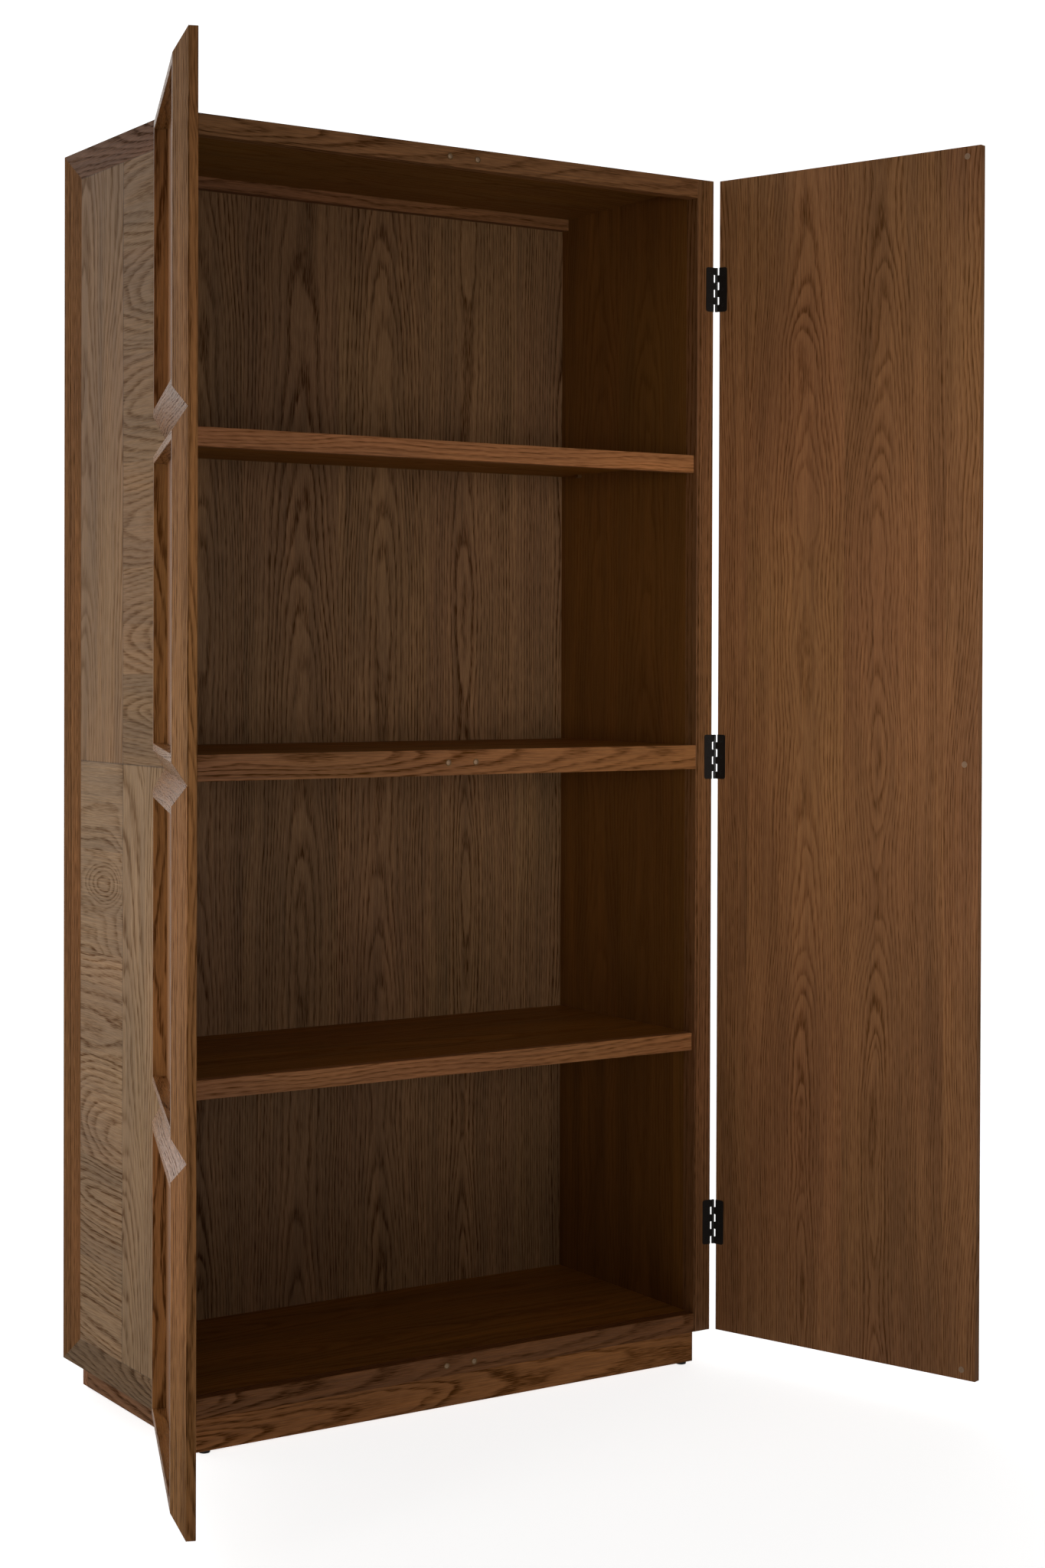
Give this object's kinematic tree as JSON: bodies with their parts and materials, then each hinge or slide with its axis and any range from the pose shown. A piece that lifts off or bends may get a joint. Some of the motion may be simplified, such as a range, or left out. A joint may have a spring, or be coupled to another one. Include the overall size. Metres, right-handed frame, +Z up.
{
  "type": "storage cabinet",
  "caption": "Tall oak storage cabinet with hinged coffered double doors, a fixed shelf, loose shelves on pins, magnetic catches and a recessed plinth.",
  "frame": {"origin": "on the floor at the middle of the cabinet's back", "axes": "+Z up, the front faces -Y, +X to the right seen from the front, +Y towards the wall"},
  "size_m": [1.4062, 0.9154, 2.03],
  "materials": {
    "oak_side": "matte brown stained oak veneer",
    "oak_front": "matte brown stained oak",
    "oak_inside": "matte brown stained oak veneer",
    "oak_door": "matte brown stained oak",
    "hinge_black": "satin black",
    "catch_brass": "satin",
    "catch_steel": "satin",
    "glide_nylon": "matte"
  },
  "bodies": {
    "carcass": {"back_panel": "oak_inside", "bottom_back_rail": "oak_front", "bottom_front_rail": "oak_front", "catch_cups": "catch_brass", "catch_magnets": "catch_steel", "fixed_shelf_board": "oak_inside", "fixed_shelf_rail": "oak_front", "floor_panel": "oak_inside", "glides": "glide_nylon", "left_back_stile": "oak_side", "left_bottom_rail": "oak_side", "left_case_leaves": "hinge_black", "left_core": "oak_side", "left_field_lower_back": "oak_side", "left_field_lower_front": "oak_side", "left_field_upper_back": "oak_side", "left_field_upper_front": "oak_side", "left_hinge_pins": "hinge_black", "left_post": "oak_side", "left_top_rail": "oak_side", "plinth_back": "oak_front", "plinth_blocks": "oak_front", "plinth_front": "oak_front", "plinth_left": "oak_front", "plinth_right": "oak_front", "right_back_stile": "oak_side", "right_bottom_rail": "oak_side", "right_case_leaves": "hinge_black", "right_core": "oak_side", "right_field_lower_back": "oak_side", "right_field_lower_front": "oak_side", "right_field_upper_back": "oak_side", "right_field_upper_front": "oak_side", "right_hinge_pins": "hinge_black", "right_post": "oak_side", "right_top_rail": "oak_side", "shelf_pins": "catch_brass", "top_back_rail": "oak_front", "top_front_rail": "oak_front", "top_panel": "oak_inside"},
    "left_door": {"left_door_coffer_1": "oak_door", "left_door_coffer_2": "oak_door", "left_door_coffer_3": "oak_door", "left_door_coffer_4": "oak_door", "left_door_leaves": "hinge_black", "left_door_slab": "oak_door", "left_strikes": "catch_steel"},
    "right_door": {"right_door_coffer_1": "oak_door", "right_door_coffer_2": "oak_door", "right_door_coffer_3": "oak_door", "right_door_coffer_4": "oak_door", "right_door_leaves": "hinge_black", "right_door_slab": "oak_door", "right_strikes": "catch_steel"},
    "upper_shelf": {"upper_shelf_board": "oak_inside", "upper_shelf_lip": "oak_inside"},
    "lower_shelf": {"lower_shelf_board": "oak_inside", "lower_shelf_lip": "oak_inside"}
  },
  "joints": [
    {"name": "left_door_hinge", "type": "hinge", "parent": "carcass", "child": "left_door", "pos_m": [-0.5095, -0.433, 1.042], "axis": [0, 0, -1], "range_deg": [-111.6, 68.4]},
    {"name": "right_door_hinge", "type": "hinge", "parent": "carcass", "child": "right_door", "pos_m": [0.5095, -0.433, 1.042], "axis": [0, 0, 1], "range_deg": [-108.1, 71.9]},
    {"name": "upper_shelf_lift", "type": "slide", "parent": "carcass", "child": "upper_shelf", "axis": [0, 0, 1], "range_m": [0, 0.03]},
    {"name": "lower_shelf_lift", "type": "slide", "parent": "carcass", "child": "lower_shelf", "axis": [0, 0, 1], "range_m": [0, 0.03]}
  ]
}
